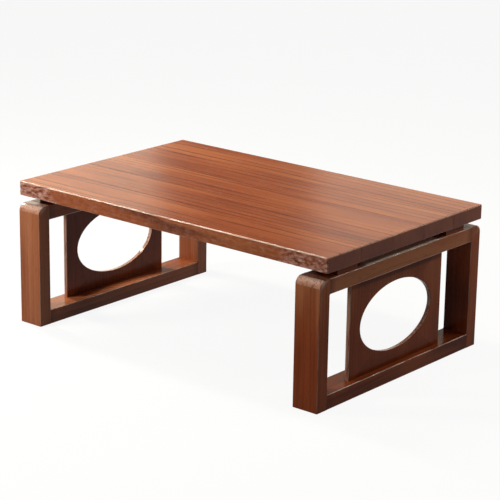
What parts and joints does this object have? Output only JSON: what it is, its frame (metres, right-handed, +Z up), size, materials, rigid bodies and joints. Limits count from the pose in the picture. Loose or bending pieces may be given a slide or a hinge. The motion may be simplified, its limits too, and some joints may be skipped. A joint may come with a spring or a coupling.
{
  "type": "low table",
  "caption": "Low wooden tea table: a thick plank top carried on spacer blocks over open leg frames, each with a thin panel pierced by an oval window.",
  "frame": {"origin": "centre of the table's footprint, on the floor under the feet", "axes": "+X along the tabletop's long side, +Y from the front long edge to the back one, +Z up"},
  "size_m": [0.8, 0.52, 0.3],
  "materials": {
    "tabletop_wood": "satin lacquer over stained open grain, long grain along X",
    "leg_wood": "satin lacquer over dark red-brown stain",
    "panel_wood": "satin lacquer over dark red-brown stain, grain upright",
    "zinc_steel": "zinc plated"
  },
  "bodies": {
    "root": {"top_board_1": "tabletop_wood", "top_board_2": "tabletop_wood", "top_board_3": "tabletop_wood", "top_board_4": "tabletop_wood", "top_board_5": "tabletop_wood", "left_front_post": "leg_wood", "left_front_spacer": "leg_wood", "left_front_bolt": "zinc_steel", "left_front_washer": "zinc_steel", "left_front_insert": "zinc_steel", "left_back_post": "leg_wood", "left_back_spacer": "leg_wood", "left_back_bolt": "zinc_steel", "left_back_washer": "zinc_steel", "left_back_insert": "zinc_steel", "left_bottom_rail": "leg_wood", "left_top_rail": "leg_wood", "left_oval_panel": "panel_wood", "right_front_post": "leg_wood", "right_front_spacer": "leg_wood", "right_front_bolt": "zinc_steel", "right_front_washer": "zinc_steel", "right_front_insert": "zinc_steel", "right_back_post": "leg_wood", "right_back_spacer": "leg_wood", "right_back_bolt": "zinc_steel", "right_back_washer": "zinc_steel", "right_back_insert": "zinc_steel", "right_bottom_rail": "leg_wood", "right_top_rail": "leg_wood", "right_oval_panel": "panel_wood"}
  },
  "joints": []
}
